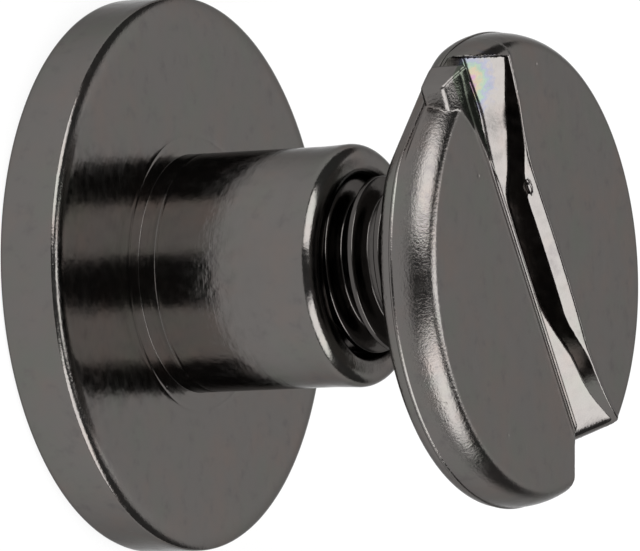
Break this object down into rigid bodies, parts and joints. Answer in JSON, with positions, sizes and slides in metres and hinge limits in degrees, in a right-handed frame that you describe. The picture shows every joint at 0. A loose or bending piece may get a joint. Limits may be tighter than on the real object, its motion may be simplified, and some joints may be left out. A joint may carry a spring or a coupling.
{
  "type": "flat head screw rivet",
  "caption": "Flat head screw rivet: a round flat cap with a hollow threaded barrel, and a slotted flat-head screw partly unscrewed from it.",
  "frame": {"origin": "centre of the cap's flat outer face, on which the part stands", "axes": "+Z along the barrel, from the cap towards the screw's head; +X is the way the head sits off the thread's axis"},
  "size_m": [0.0094, 0.0094, 0.0077],
  "materials": {
    "post_plate": "black nickel plate on turned brass, glossy, with faint turning marks",
    "screw_plate": "black nickel plate on a formed and sawn brass head, glossy, with a hammered edge"
  },
  "bodies": {
    "post": {"post": "post_plate"},
    "screw": {"screw": "screw_plate"}
  },
  "joints": [
    {"name": "screw_travel", "type": "slide", "parent": "post", "child": "screw", "axis": [0, 0, 1], "range_m": [-0.002, 0.0025]}
  ]
}
